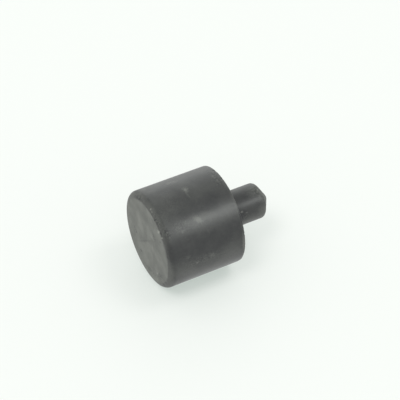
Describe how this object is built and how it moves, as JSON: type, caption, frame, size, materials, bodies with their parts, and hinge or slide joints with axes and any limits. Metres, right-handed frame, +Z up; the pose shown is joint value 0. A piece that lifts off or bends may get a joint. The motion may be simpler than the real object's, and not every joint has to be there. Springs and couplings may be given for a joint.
{
  "type": "rubber buffer",
  "caption": "Round black rubber buffer with a flat striking face and a plain stem that presses into a hole, for cushioning a stop or a foot.",
  "frame": {"origin": "centre of the flat striking face, which the buffer stands on", "axes": "+Z up the axis of the head and the stem, from the striking face to the stem's end; the moulding is round, so +X is free and only the slant of the cut tip shows it"},
  "size_m": [0.025, 0.025, 0.0329],
  "materials": {
    "black_rubber": "moulded black rubber, satin on the round wall and duller on the flat face, with handling scuffs"
  },
  "bodies": {
    "root": {"rubber_buffer": "black_rubber"}
  },
  "joints": []
}
